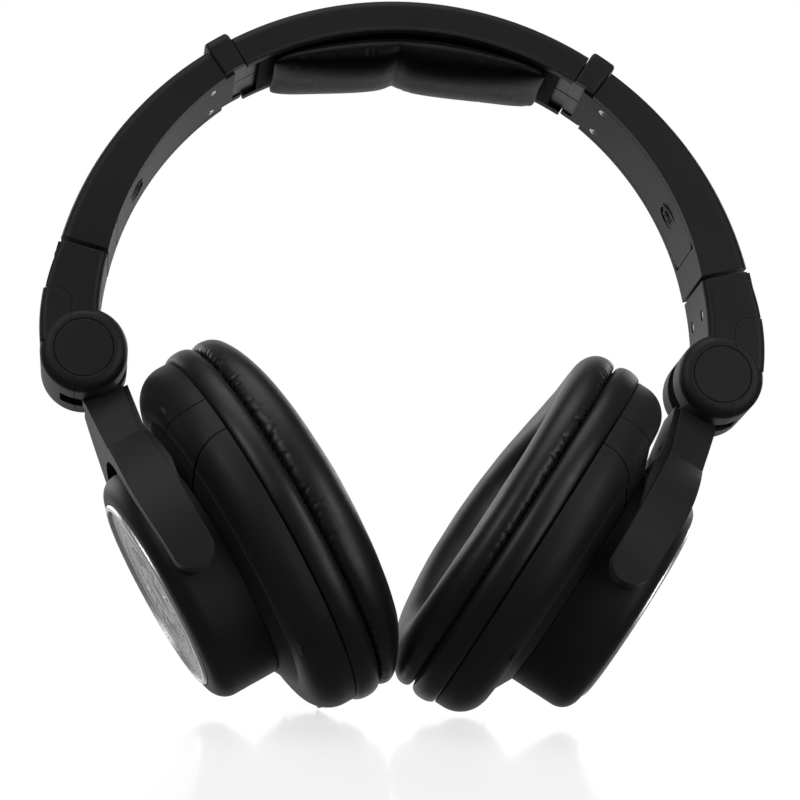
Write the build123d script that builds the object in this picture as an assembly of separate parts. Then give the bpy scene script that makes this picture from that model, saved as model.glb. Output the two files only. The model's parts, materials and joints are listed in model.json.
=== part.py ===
from build123d import *
import math
import os

# Over-ear headphones: folding, swivelling cups on a padded arch.
#
# Millimetres and degrees. X runs across the head, Y from front (-) to back (+),
# Z up. The origin is on the surface under the cups, midway between them.
# The arch is a circle in the XZ plane, and its angles are counted from the crown.
# Each side is modelled at +X and mirrored to -X.

# Arch.
ARCH_HEIGHT = 95.14
ARCH_RADIUS = 93.3
ARCH_INSIDE = 84.3
BAND_HALF_DEPTH = 13.2
WALL = 2.1
CROWN_END = 31.0
COLLAR_START = 31.2
COLLAR_END = 35.4
COLLAR_PROUD = 2.1
COLLAR_INSIDE = 85.1
SIDE_START = 35.6
SIDE_END = 75.6
SIDE_INSIDE_END = 80.5
PLATE_START = 33.4
PLATE_END = 69.5
PLATE_THICKNESS = 0.9
STRIP_RADIUS = 85.5
STRIP_THICKNESS = 1.2
STRIP_END = 44.0
STRIP_INNER_EDGE = 0.3
STRIP_OUTER_EDGE = 10.9

# Headband pad.
PAD_END = 27.0
PAD_UNDERSIDE = 71.2
PAD_HALF_DEPTH = 13.4
CARRIER_RADIUS = 84.3
CARRIER_END = 28.4

# Hinge block and size slider.
BLOCK_START = 76.4
BLOCK_END = 93.0
BLOCK_INSIDE = (80.4, 79.9, 79.4)
BLOCK_OUTSIDE = (93.3, 94.8, 94.7)
BLOCK_HALF_DEPTH = 13.3
BLOCK_SPLIT = 86.9
BLOCK_SPLIT_START = 84.4
BLOCK_SPLIT_CORNER = 3.0
BLOCK_SCREWS = ((82.0, 6.2), (82.0, -6.2))
SLIDE_ANGLE = 76.0
SLIDE_RADIUS = 84.6
SLIDE_WIDTH = 12.0
SLIDE_THICKNESS = 1.2
SLIDE_INSIDE_BAND = 30.0
SLIDE_INSIDE_BLOCK = 12.0
FOLD_X = 83.2
FOLD_DROP = 6.7
KNUCKLE_RADIUS = 11.3
KNUCKLE_HALF_DEPTH = 13.8
CHAMBER_RADIUS = 8.9
CHAMBER_HALF_DEPTH = 9.0
CAP_RADIUS = 7.5
CAP_THICKNESS = 1.4
FOLD_PIN_RADIUS = 2.5
FOLD_OUTWARD = 28.0
FOLD_SLOT_INWARD = 80.0

# Stem, yoke and cup.
STEM_TILT = 27.0
CUP_TILT = 31.4
STEM_LENGTH = 63.4
BARREL_RADIUS = 8.5
BARREL_HALF_DEPTH = 8.6
NECK_HALF_X = 5.0
NECK_HALF_Y = 3.3
STUD_RADIUS = 3.0
YOKE_TOP = 12.2
YOKE_OUTER = 41.4
YOKE_INNER = 35.9
ARM_END = 5.3
PIVOT_RADIUS = 2.4
LINING_SCREWS = (-7.5, 7.5)
LINING_SCREW_Z = 38.4
RUNNING_CLEARANCE = 0.05
FACE_GAP = 0.25

DRUM_RADIUS = 32.0
DRUM_INSIDE = 29.9
DRUM_FACE = 8.8
DRUM_BACK = -8.4
DRUM_ROUNDING = 5.0
BADGE_RIM_OUTER = 26.1
BADGE_RIM_INNER = 24.7
BADGE_DISC_RADIUS = 24.5
SHELL_FRONT = -22.0
SHELL_BACK = -11.2
SHELL_LIFT = 1.6
SHELL_HALF_Y = 44.5
SHELL_HALF_Z = 49.6
SHELL_ROUNDING = 8.5
SHELL_WALL = 2.0
BAFFLE_SCREWS = ((-25.0, 34.6), (25.0, 34.6), (-25.0, -31.4), (25.0, -31.4))
COVER_TOP = 22.0
COVER_SIDE = -8.2
COVER_CORNER = 12.0
PANEL_LINE = 32.0
CUSHION_BACK = -22.3
CUSHION_FACE = -38.1
CUSHION_HALF_Y = 43.2
CUSHION_ROUNDING = 8.4
CUSHION_HALF_Z = 48.8
EAR_HALF_Y = 23.5
EAR_HALF_Z = 30.0
DRIVER_RADIUS = 20.0
JACK_BORE = 1.8
JACK_OUTER = 2.6
JACK_LENGTH = 14.0
JACK_X = -17.2
JACK_ANGLE = 20.0


def polar(radius, angle, y=0.0):
    """Point on the arch at a radius and an angle from the crown."""
    turn = math.radians(angle)
    return Vector(radius * math.sin(turn), y, ARCH_HEIGHT + radius * math.cos(turn))


def arch_slab(inside, outside, start, end, half_depth):
    """Slab of the arch; inside and outside are one radius, or three: start, middle, end."""
    inside = inside if isinstance(inside, tuple) else (inside,) * 3
    outside = outside if isinstance(outside, tuple) else (outside,) * 3
    angles = (start, (start + end) / 2, end)
    top = ThreePointArc(*[polar(r, a, -half_depth) for r, a in zip(outside, angles)])
    low = ThreePointArc(*[polar(r, a, -half_depth) for r, a in zip(inside, angles)])
    face = make_face([top, low, Line(top @ 0, low @ 0), Line(top @ 1, low @ 1)])
    return extrude(face, amount=2 * half_depth, dir=(0, 1, 0))


def arch_band(inside, outside, start, end, y_low, y_high):
    """Slab of the arch that lies off the middle, between two Y values."""
    half = (y_high - y_low) / 2
    return Pos(0, (y_high + y_low) / 2, 0) * arch_slab(inside, outside, start, end, half)


def band_inside(angle):
    """Inner radius of the side cover, which thickens towards its lower end."""
    share = (angle - SIDE_START) / (SIDE_END - SIDE_START)
    return ARCH_INSIDE + share * (SIDE_INSIDE_END - ARCH_INSIDE)


def inside_radii(start, end, lift=0.0):
    """Inner radii at the start, middle and end of a stretch of the side cover."""
    return tuple(band_inside(a) + lift for a in (start, (start + end) / 2, end))


def long_edges(part, radius):
    """Curved edges of a slab that lie at about the given radius from the arch's centre."""
    def on_radius(edge):
        middle = edge @ 0.5
        return abs(math.hypot(middle.X, middle.Z - ARCH_HEIGHT) - radius) < 1.5

    return part.edges().filter_by(GeomType.CIRCLE).filter_by(on_radius)


def rod_y(radius, y_low, y_high, x=0.0, z=0.0):
    """Cylinder along Y."""
    rod = Cylinder(radius, y_high - y_low)
    return Pos(x, (y_low + y_high) / 2, z) * Rot(90, 0, 0) * rod


def rod_x(radius, x_low, x_high, y=0.0, z=0.0):
    """Cylinder along X."""
    rod = Cylinder(radius, x_high - x_low)
    return Pos((x_low + x_high) / 2, y, z) * Rot(0, 90, 0) * rod


def oval_x(half_y, half_z, x_low, x_high, z=0.0):
    """Elliptical prism along X."""
    face = Plane(origin=(x_low, 0, z), x_dir=(0, 1, 0), z_dir=(1, 0, 0)) * Ellipse(half_y, half_z)
    return extrude(face, amount=x_high - x_low)


def block(x_low, x_high, y_low, y_high, z_low, z_high):
    """Box between its limits."""
    size = (x_high - x_low, y_high - y_low, z_high - z_low)
    centre = ((x_low + x_high) / 2, (y_low + y_high) / 2, (z_low + z_high) / 2)
    return Pos(*centre) * Box(*size)


FOLD_AXIS = Vector(FOLD_X, 0, ARCH_HEIGHT - FOLD_DROP)
STEM_DOWN = Vector(-math.sin(math.radians(STEM_TILT)), 0, -math.cos(math.radians(STEM_TILT)))
PIVOT = FOLD_AXIS + STEM_DOWN * STEM_LENGTH
AT_FOLD = Location(FOLD_AXIS, (0, STEM_TILT, 0))
AT_CUP = Location(PIVOT, (0, CUP_TILT, 0))
AT_SLIDE = Location(polar(SLIDE_RADIUS, SLIDE_ANGLE), (0, SLIDE_ANGLE, 0))


# ---- Headband ----

def crown_cover():
    """Outer channel over the crown, open underneath, with a thin lip along its lower edges."""
    cover = arch_slab(ARCH_INSIDE, ARCH_RADIUS, -CROWN_END, CROWN_END, BAND_HALF_DEPTH)
    cover = fillet(long_edges(cover, ARCH_RADIUS), 2.4)
    lip = arch_slab(ARCH_INSIDE, ARCH_INSIDE + 0.9, -CROWN_END, CROWN_END, BAND_HALF_DEPTH + 0.4)
    channel = arch_slab(70, ARCH_RADIUS - WALL, -CROWN_END - 2, CROWN_END + 2, BAND_HALF_DEPTH - WALL)
    return cover + lip - channel


def collar():
    """Raised ring between the crown cover and a side cover, open underneath."""
    outside = ARCH_RADIUS + COLLAR_PROUD
    half_depth = BAND_HALF_DEPTH + 0.5
    ring = arch_slab(COLLAR_INSIDE, outside, COLLAR_START, COLLAR_END, half_depth)
    ring = fillet(long_edges(ring, outside), 2.6)
    crests = ring.edges().filter_by(lambda e: math.hypot((e @ 0.5).X, (e @ 0.5).Z - ARCH_HEIGHT) > 90)
    ring = fillet(crests.filter_by(GeomType.LINE), 0.9)
    return ring - arch_slab(70, ARCH_RADIUS - WALL, COLLAR_START - 2, COLLAR_END + 2, BAND_HALF_DEPTH - WALL)


def side_cover():
    """Hollow lower arm of the band, with a window for the inner plate and a slot for the slider."""
    inside = inside_radii(SIDE_START, SIDE_END)
    cover = arch_slab(inside, ARCH_RADIUS, SIDE_START, SIDE_END, BAND_HALF_DEPTH)
    cover = fillet(long_edges(cover, ARCH_RADIUS), 2.4)
    room_end = SIDE_END - 1.8
    room_inside = inside_radii(SIDE_START - 2, room_end, 1.7)
    inner_half = BAND_HALF_DEPTH - WALL
    room = arch_slab(room_inside, ARCH_RADIUS - WALL, SIDE_START - 2, room_end, inner_half)
    window = arch_slab(70, ARCH_RADIUS - 5, SIDE_START - 2, PLATE_END + 0.2, inner_half)
    slot_half = SLIDE_WIDTH / 2 + 0.4
    slot = AT_SLIDE * block(-14, 14, -slot_half, slot_half, -1.0, 1.0)
    return cover - room - window - slot


def inner_plate():
    """Plate that closes the side cover's window, drilled for two screws near its top."""
    lift = PLATE_THICKNESS
    start, end = PLATE_START, PLATE_END
    outside = inside_radii(start, end, lift)
    plate = arch_slab(inside_radii(start, end), outside, start, end, BAND_HALF_DEPTH - WALL - 0.2)
    corner = plate.edges().filter_by(lambda e: (e @ 0.5).Z < polar(82, end - 1).Z)
    plate = fillet(corner.filter_by(lambda e: abs((e @ 0).Y - (e @ 1).Y) < 0.01).filter_by(GeomType.LINE), 3.0)
    for y in (-7.6, 7.6):
        plate -= band_screw_at(38.6, y, 1.35, 1.15)
    return plate


def band_screw_at(angle, y, head, shank):
    """Countersunk screw whose head is flush with the inner plate."""
    foot = polar(band_inside(angle), angle, y)
    screw = Pos(0, 0, 0.6) * Cylinder(head, 1.2) + Pos(0, 0, 2.4) * Cylinder(shank, 2.4)
    return Location(foot, (0, angle, 0)) * screw


def band_screws():
    """Four screws, two in the top of each inner plate."""
    screws = []
    for y in (-7.6, 7.6):
        screw = band_screw_at(38.6, y, 1.3, 1.0) - band_screw_recess(38.6, y)
        screws += [screw, mirror(screw, about=Plane.YZ)]
    return Compound(children=screws)


def band_screw_recess(angle, y):
    """Cross recess in a screw's head."""
    foot = polar(band_inside(angle), angle, y)
    cross = Box(1.5, 0.4, 0.9) + Box(0.4, 1.5, 0.9)
    return Location(foot, (0, angle, 0)) * cross


def spring_strips():
    """The two steel strips of the spring band, front and rear, side by side."""
    top = STRIP_RADIUS + STRIP_THICKNESS
    strips = []
    for y_low in (-STRIP_OUTER_EDGE, STRIP_INNER_EDGE):
        y_high = y_low + STRIP_OUTER_EDGE - STRIP_INNER_EDGE
        strip = arch_band(STRIP_RADIUS, top, -STRIP_END, STRIP_END, y_low, y_high)
        for side in (1, -1):
            for y in (-7.6, 7.6):
                angle = 38.6 * side
                hole = Location(polar(STRIP_RADIUS, angle, y), (0, angle, 0)) * Cylinder(1.4, 6)
                strip -= hole
        strips.append(strip)
    return Compound(children=strips)


def pad_carrier():
    """Plastic plate that holds the pad under the spring strips."""
    half_depth = BAND_HALF_DEPTH - WALL - 0.3
    return arch_slab(CARRIER_RADIUS, STRIP_RADIUS - 0.1, -CARRIER_END, CARRIER_END, half_depth)


def headband_pad():
    """Plain closed solid of the crown pad: arched top, nearly flat underside."""
    top = ThreePointArc(polar(84.2, -PAD_END), polar(84.2, 0), polar(84.2, PAD_END))
    low_z = ARCH_HEIGHT + PAD_UNDERSIDE
    end = top @ 1
    low = ThreePointArc((-end.X, 0, low_z), (0, 0, low_z + 1.8), (end.X, 0, low_z))
    sides = [Line(top @ 0, low @ 0), Line(top @ 1, low @ 1)]
    face = Pos(0, -PAD_HALF_DEPTH, 0) * make_face([top, low] + sides)
    pad = extrude(face, amount=2 * PAD_HALF_DEPTH, dir=(0, 1, 0))
    long_lower = pad.edges().filter_by(GeomType.CIRCLE).filter_by(lambda e: (e @ 0.5).Z < low_z + 2.5)
    return fillet(long_lower, 2.4)


# ---- Size slider and hinge block ----

def slider_strip():
    """Straight steel strip that carries the hinge block and slides in the side cover."""
    half = SLIDE_WIDTH / 2
    thick = SLIDE_THICKNESS / 2
    strip = block(-SLIDE_INSIDE_BAND, SLIDE_INSIDE_BLOCK, -half, half, -thick, thick)
    strip = fillet(strip.edges().filter_by(Axis.Z).group_by(Axis.X)[0], 3.0)
    for step in range(5):
        notch = Pos(-6 - 4.4 * step, half, 0) * Cylinder(0.8, 3)
        strip -= notch
    return AT_SLIDE * strip


def neck_slot():
    """Room under the knuckle for the neck, from its outward stop to its folded place inward."""
    half_x, half_y, reach = NECK_HALF_X + 0.5, NECK_HALF_Y + 0.4, 20.0
    turns = (STEM_TILT - FOLD_OUTWARD - 0.6, STEM_TILT + FOLD_SLOT_INWARD)
    room = None
    for turn in turns:
        piece = Location(FOLD_AXIS, (0, turn, 0)) * block(-half_x, half_x, -half_y, half_y, -reach, 0)
        room = piece if room is None else room + piece
    rim = []
    for step in range(3):
        angle = math.radians(turns[0] + step * (turns[1] - turns[0]) / 2)
        rim.append(FOLD_AXIS + Vector(-math.sin(angle), 0, -math.cos(angle)) * reach)
    fan = make_face([ThreePointArc(*rim), Line(rim[0], FOLD_AXIS), Line(FOLD_AXIS, rim[2])])
    return room + Pos(0, -half_y, 0) * extrude(fan, amount=2 * half_y, dir=(0, 1, 0))


def hinge_block():
    """Whole housing between the side cover and the fold axis, before it is split."""
    body = arch_slab(BLOCK_INSIDE, BLOCK_OUTSIDE, BLOCK_START, BLOCK_END, BLOCK_HALF_DEPTH)
    edges = body.edges().filter_by(GeomType.CIRCLE)
    body = fillet(edges, 2.0)
    knuckle = rod_y(KNUCKLE_RADIUS, -KNUCKLE_HALF_DEPTH, KNUCKLE_HALF_DEPTH)
    knuckle = fillet(knuckle.edges().filter_by(GeomType.CIRCLE), 3.2)
    body += Pos(FOLD_AXIS) * knuckle
    x, z = FOLD_AXIS.X, FOLD_AXIS.Z
    body -= rod_y(CHAMBER_RADIUS, -CHAMBER_HALF_DEPTH, CHAMBER_HALF_DEPTH, x, z)
    body -= neck_slot()
    body -= rod_y(FOLD_PIN_RADIUS + 0.02, -12.2, 12.2, x, z)
    cap_seat = CAP_RADIUS + FACE_GAP
    depth = CAP_THICKNESS + 0.1
    for low in (-KNUCKLE_HALF_DEPTH - 1, KNUCKLE_HALF_DEPTH - depth):
        body -= rod_y(cap_seat, low, low + depth + 1, x, z)
    half = SLIDE_WIDTH / 2 + 0.05
    body -= AT_SLIDE * block(-4, SLIDE_INSIDE_BLOCK + 0.05, -half, half, -0.65, 0.65)
    return body


def outer_region(grow):
    """Region of the housing's outer half, with a rounded corner below the grip inset."""
    region = arch_slab(BLOCK_SPLIT - grow, 120, BLOCK_SPLIT_START - math.degrees(grow / BLOCK_SPLIT), 120, 20)
    corner = region.edges().filter_by(Axis.Y).sort_by(lambda e: (e @ 0.5 - polar(BLOCK_SPLIT, BLOCK_SPLIT_START)).length)
    return fillet(corner[0], BLOCK_SPLIT_CORNER)


def block_outer():
    """Outer half of the hinge housing, below the grip inset."""
    return hinge_block() & outer_region(-0.05)


def block_inner():
    """Inner half of the hinge housing, with two screw wells and the recess for the grip inset."""
    half = hinge_block() - outer_region(0.05)
    half -= arch_slab(92.4, 100, BLOCK_START - 1.0, BLOCK_START + 8.1, 12.7)
    for angle, y in BLOCK_SCREWS:
        half -= block_screw_at(angle, y, 1.5, 1.15, 3.0)
    return half


def block_screw_at(angle, y, head, shank, reach):
    """Screw driven outward into the housing from its inner face."""
    foot = polar(79.0, angle, y)
    screw = Pos(0, 0, 1.2) * Cylinder(head, 2.4) + Pos(0, 0, 2.4 + reach / 2) * Cylinder(shank, reach)
    return Location(foot, (0, angle, 0)) * screw


def block_screws():
    """The two screws that hold the halves of the hinge housing together."""
    screws = []
    for angle, y in BLOCK_SCREWS:
        head = Location(polar(79.0, angle, y), (0, angle, 0)) * (Pos(0, 0, 1.85) * Cylinder(1.4, 1.0))
        shank = Location(polar(79.0, angle, y), (0, angle, 0)) * (Pos(0, 0, 3.8) * Cylinder(1.05, 2.9))
        screws.append(head + shank)
    return Compound(children=screws)


def grip_inset():
    """Grip plate set into the outer face of the hinge housing."""
    inset = arch_slab(92.45, 93.5, BLOCK_START + 0.15, BLOCK_START + 7.9, 12.4)
    ridges = None
    for step in range(4):
        start = BLOCK_START + 1.3 + 1.6 * step
        ridge = arch_slab(93.3, 93.9, start, start + 0.6, 9.0)
        ridges = ridge if ridges is None else ridges + ridge
    return inset + ridges


def cap_discs():
    """Flush discs that close the two ends of the fold pin's bore."""
    discs = []
    for low in (-KNUCKLE_HALF_DEPTH, KNUCKLE_HALF_DEPTH - CAP_THICKNESS):
        disc = rod_y(CAP_RADIUS, low, low + CAP_THICKNESS, FOLD_AXIS.X, FOLD_AXIS.Z)
        discs.append(disc)
    return Compound(children=discs)


def fold_pin():
    """Steel pin of the fold hinge, held in the housing."""
    return rod_y(FOLD_PIN_RADIUS, -12.0, 12.0, FOLD_AXIS.X, FOLD_AXIS.Z)


# ---- Fold barrel and swivel ----

def fold_barrel():
    """Barrel on the fold pin, with the neck and the swivel stud that carry the yoke."""
    barrel = rod_y(BARREL_RADIUS, -BARREL_HALF_DEPTH, BARREL_HALF_DEPTH)
    neck = block(-NECK_HALF_X, NECK_HALF_X, -NECK_HALF_Y, NECK_HALF_Y, -YOKE_TOP + 0.3, 0)
    stud = Pos(0, 0, -YOKE_TOP - 5.5) * Cylinder(STUD_RADIUS, 12.0)
    bore = rod_y(FOLD_PIN_RADIUS + RUNNING_CLEARANCE, -20, 20)
    groove = Pos(0, 0, -YOKE_TOP - 10.1) * (Cylinder(STUD_RADIUS + 1, 1.2) - Cylinder(2.2, 1.2))
    return AT_FOLD * (barrel + neck + stud - bore - groove)


def swivel_clip():
    """Retaining ring in the groove of the swivel stud."""
    ring = Cylinder(4.6, 1.0) - Cylinder(2.25, 1.0)
    gap = block(0, 8, -1.2, 1.2, -2, 2)
    return AT_FOLD * Pos(0, 0, -YOKE_TOP - 10.1) * (ring - gap)


# ---- Yoke ----

def yoke_side_outline():
    """Outline of the yoke seen along Y: rounded arm ends and flanks that curve up to the neck."""
    outer_flank = Spline((ARM_END, 0, 0), (5.4, 0, 22.0), (3.6, 0, 36.0), (1.3, 0, 52.0), tangents=((0, 0, 1), (-0.18, 0, 1)))
    inner_flank = Spline((-ARM_END, 0, 0), (-6.0, 0, 20.0), (-7.6, 0, 36.0), (-9.6, 0, 52.0), tangents=((0, 0, 1), (-0.13, 0, 1)))
    foot = ThreePointArc((ARM_END, 0, 0), (0, 0, -ARM_END), (-ARM_END, 0, 0))
    return make_face([outer_flank, inner_flank, foot, Line(outer_flank @ 1, inner_flank @ 1)])


def yoke_ring(outer, inner, head):
    """Half ring around the drum with its head, as a prism along X; head is (top, low) half widths."""
    top = block(-14, 14, -outer, outer, 0, outer)
    ring = rod_x(outer, -14, 14) & top
    for side in (-1, 1):
        middle = side * (outer + inner) / 2
        half = (outer - inner) / 2
        ring += block(-14, 14, middle - half, middle + half, -8, 0.5)
    face = make_face(Polyline((0, -head[0], 52), (0, head[0], 52), (0, head[1], 33), (0, -head[1], 33), close=True))
    ring += Pos(-14, 0, 0) * extrude(face, amount=28, dir=(1, 0, 0))
    return ring - rod_x(inner, -15, 15)


def clip_pocket():
    """Room in the yoke's head for the retaining ring of the swivel stud."""
    return AT_FOLD * Pos(0, 0, -YOKE_TOP - 10.1) * Cylinder(5.0, 1.7)


def above_yoke():
    """Half space above the yoke's flat top, as a box."""
    return AT_CUP.inverse() * AT_FOLD * block(-30, 30, -30, 30, -YOKE_TOP, 30)


def yoke_outer():
    """Outer cover of the yoke: the fork's two arms and the head with the swivel bore."""
    profile = extrude(yoke_side_outline(), amount=60, both=True)
    fork = profile & yoke_ring(YOKE_OUTER, YOKE_INNER, (8.0, 23.0))
    seat = Polyline((-20, 0, 15), (-5.7, 0, 15), (-5.95, 0, 37), (-9.05, 0, 50.5), (-20, 0, 50.5), close=True)
    fork -= extrude(make_face(seat), amount=60, both=True)
    fork -= above_yoke()
    fork = AT_CUP * fork
    fork -= AT_FOLD * Pos(0, 0, -YOKE_TOP - 5.9) * Cylinder(STUD_RADIUS + RUNNING_CLEARANCE, 12.6)
    fork -= clip_pocket()
    for y in LINING_SCREWS:
        fork -= AT_CUP * rod_x(1.05, -14, -2.3, y, LINING_SCREW_Z)
    for side in (-1, 1):
        low, high = sorted((side * 30.0, side * 39.0))
        fork -= AT_CUP * rod_y(PIVOT_RADIUS + 0.02, low, high)
    return fork


def yoke_lining():
    """Inner half of the yoke, screwed on at the ear side, a little smaller than the cover."""
    low = -7.9
    ear_side = ((-5.75, 0, 15), (low, 0, 24), (low, 0, 38), (-10.6, 0, 50.5))
    outline = Polyline(*ear_side, (-9.1, 0, 50.5), (-6.0, 0, 37.0), close=True)
    profile = extrude(make_face(outline), amount=60, both=True)
    lining = profile & yoke_ring(YOKE_OUTER - 1.4, YOKE_INNER + 0.3, (6.6, 20.0))
    lining -= above_yoke()
    for y in LINING_SCREWS:
        lining -= rod_x(1.6, -14, -7.2, y, LINING_SCREW_Z) + rod_x(1.1, -8, 0, y, LINING_SCREW_Z)
    return AT_CUP * lining - clip_pocket()


def yoke_screws():
    """Two screws through the yoke's lining."""
    screws = []
    for y in LINING_SCREWS:
        head = rod_x(1.5, -7.8, -7.2, y, LINING_SCREW_Z)
        screws.append(head + rod_x(1.0, -7.3, -2.5, y, LINING_SCREW_Z))
    return AT_CUP * Compound(children=screws)


def pivot_pins():
    """Two short pins at the arm ends, on which the cup tilts."""
    pins = []
    for side in (-1, 1):
        low, high = sorted((side * 29.4, side * 38.9))
        pins.append(rod_y(PIVOT_RADIUS, low, high))
    return AT_CUP * Compound(children=pins)


# ---- Cup ----

def drum_housing():
    """Round outer housing of the cup, with pivot bosses and the badge recess."""
    drum = rod_x(DRUM_RADIUS, DRUM_BACK, DRUM_FACE)
    rim = drum.edges().filter_by(GeomType.CIRCLE).sort_by(Axis.X)[-1]
    drum = fillet(rim, DRUM_ROUNDING)
    drum -= rod_x(DRUM_INSIDE, DRUM_BACK - 1, DRUM_FACE - 3.2)
    drum -= rod_x(BADGE_RIM_OUTER + 0.2, DRUM_FACE - 1.6, DRUM_FACE + 1)
    for side in (-1, 1):
        low, high = sorted((side * 29.0, side * 32.4))
        drum += rod_y(5.0, low, high)
        low, high = sorted((side * 28.0, side * 36.0))
        drum -= rod_y(PIVOT_RADIUS + RUNNING_CLEARANCE, low, high)
    return AT_CUP * drum


def badge_rim():
    """Polished ring around the badge."""
    ring = rod_x(BADGE_RIM_OUTER, DRUM_FACE - 1.5, DRUM_FACE + 0.8)
    crest = ring.edges().filter_by(GeomType.CIRCLE).sort_by(Axis.X)[-1]
    ring = fillet(crest, 0.7) - rod_x(BADGE_RIM_INNER, DRUM_FACE - 3, DRUM_FACE + 3)
    return AT_CUP * ring


def badge_disc():
    """Plain metal disc in the middle of the drum's face."""
    disc = rod_x(BADGE_DISC_RADIUS, DRUM_FACE - 1.5, DRUM_FACE - 0.1)
    crest = disc.edges().filter_by(GeomType.CIRCLE).sort_by(Axis.X)[-1]
    return AT_CUP * fillet(crest, 0.3)


def shell_outside():
    """Outer form of the oval shell: a rounded oval and a shallow cone up to the drum."""
    oval = oval_x(SHELL_HALF_Y, SHELL_HALF_Z, SHELL_FRONT, SHELL_BACK, SHELL_LIFT)
    back_edge = oval.edges().sort_by(Axis.X)[-1]
    oval = fillet(back_edge, SHELL_ROUNDING)
    wide = Plane(origin=(SHELL_BACK - 1.0, 0, SHELL_LIFT), x_dir=(0, 1, 0), z_dir=(1, 0, 0))
    narrow = Plane(origin=(DRUM_BACK - 0.2, 0, 0), x_dir=(0, 1, 0), z_dir=(1, 0, 0))
    flat_y = SHELL_HALF_Y - SHELL_ROUNDING
    flat_z = SHELL_HALF_Z - SHELL_ROUNDING
    cone = loft([wide * Ellipse(flat_y, flat_z), narrow * Ellipse(DRUM_RADIUS + 0.4, DRUM_RADIUS + 0.41)])
    return oval + cone


def shell_body():
    """Hollow oval shell with four screw bosses, before the lower cover is cut from it."""
    inside_y = SHELL_HALF_Y - SHELL_WALL
    inside_z = SHELL_HALF_Z - SHELL_WALL
    room = oval_x(inside_y, inside_z, SHELL_FRONT - 5, SHELL_BACK - SHELL_WALL, SHELL_LIFT)
    room = fillet(room.edges().sort_by(Axis.X)[-1], SHELL_ROUNDING - SHELL_WALL)
    shell = shell_outside() - room - rod_x(DRUM_INSIDE, -30, 0)
    for y, z in BAFFLE_SCREWS:
        boss = rod_x(3.0, SHELL_FRONT + 2.3, SHELL_BACK - 1.0, y, z) - rod_x(DRUM_INSIDE, -30, 0)
        shell += boss - rod_x(1.05, -30, SHELL_BACK - 2.0, y, z)
    return shell


def lower_region(grow):
    """Region of the shell that the lower cover takes up, with one rounded top corner."""
    region = block(-30, COVER_SIDE + grow, -60, 60, -60, COVER_TOP + grow)
    corner = region.edges().filter_by(Axis.Y).sort_by(lambda e: (e @ 0.5).X + (e @ 0.5).Z)[-1]
    return fillet(corner, COVER_CORNER)


def jack_place():
    """Axis of the jack socket: Z points out of its mouth."""
    turn = math.radians(JACK_ANGLE)
    reach = 48.6
    mouth = (JACK_X, reach * math.sin(turn), SHELL_LIFT - reach * math.cos(turn))
    out = (0, math.sin(turn), -math.cos(turn))
    return Location(Plane(origin=mouth, x_dir=(1, 0, 0), z_dir=out))


def panel_groove():
    """Fine groove round the upper cap, a quarter of a millimetre wide and deep."""
    depth = 0.25
    core = oval_x(SHELL_HALF_Y - depth, SHELL_HALF_Z - depth, SHELL_FRONT - 1, SHELL_BACK - depth, SHELL_LIFT)
    core = fillet(core.edges().sort_by(Axis.X)[-1], SHELL_ROUNDING - depth)
    return block(SHELL_FRONT - 1, SHELL_BACK + 0.5, -60, 60, PANEL_LINE, PANEL_LINE + depth) - core


def shell_main():
    """Main shell: the upper cap of the oval."""
    return AT_CUP * (shell_body() - lower_region(FACE_GAP) - panel_groove())


def shell_lower(with_jack):
    """Lower cover of the shell, drilled for the jack socket on one cup."""
    cover = shell_body() & lower_region(0)
    if with_jack:
        cover -= jack_place() * Pos(0, 0, -4) * Cylinder(JACK_OUTER + 0.1, 24)
    return AT_CUP * cover


def baffle():
    """Plate that closes the shell towards the ear and holds the driver."""
    half_y = SHELL_HALF_Y - SHELL_WALL - 0.3
    half_z = SHELL_HALF_Z - SHELL_WALL - 0.3
    plate = oval_x(half_y, half_z, SHELL_FRONT + 0.1, SHELL_FRONT + 2.1, SHELL_LIFT)
    plate -= rod_x(DRIVER_RADIUS + 0.2, -30, 0, 0, SHELL_LIFT)
    for y, z in BAFFLE_SCREWS:
        plate -= rod_x(1.25, -30, 0, y, z) + rod_x(2.3, -30, SHELL_FRONT + 1.2, y, z)
    return AT_CUP * plate


def baffle_screws():
    """Four screws that hold the baffle to the shell."""
    screws = []
    for y, z in BAFFLE_SCREWS:
        head = rod_x(2.2, SHELL_FRONT + 0.2, SHELL_FRONT + 1.1, y, z)
        screws.append(head + rod_x(1.0, SHELL_FRONT + 1.0, SHELL_BACK - 3.0, y, z))
    return AT_CUP * Compound(children=screws)


def driver():
    """Loudspeaker unit: front ring, basket and magnet."""
    z = SHELL_LIFT
    unit = rod_x(DRIVER_RADIUS, SHELL_FRONT + 0.2, SHELL_FRONT + 3.4, 0, z)
    unit += rod_x(DRIVER_RADIUS + 2.4, SHELL_FRONT + 2.2, SHELL_FRONT + 3.4, 0, z)
    unit += rod_x(DRIVER_RADIUS - 3.5, SHELL_FRONT + 3.3, SHELL_FRONT + 8.0, 0, z)
    unit += rod_x(11.5, SHELL_FRONT + 7.9, SHELL_FRONT + 13.0, 0, z)
    return AT_CUP * unit


def ear_cloth():
    """Thin cloth over the driver inside the cushion's opening."""
    return AT_CUP * oval_x(EAR_HALF_Y - 0.4, EAR_HALF_Z - 0.4, SHELL_FRONT - 0.9, SHELL_FRONT - 0.1, SHELL_LIFT)


def ear_cushion():
    """Plain closed solid of the cushion ring around the ear."""
    ring = oval_x(CUSHION_HALF_Y, CUSHION_HALF_Z, CUSHION_FACE, CUSHION_BACK, SHELL_LIFT)
    ring -= oval_x(EAR_HALF_Y, EAR_HALF_Z, CUSHION_FACE - 1, CUSHION_BACK + 1, SHELL_LIFT)
    crests = ring.edges().filter_by(lambda e: abs((e @ 0.5).X - CUSHION_FACE) < 0.1)
    ring = fillet(crests, CUSHION_ROUNDING)
    return AT_CUP * ring


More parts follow.
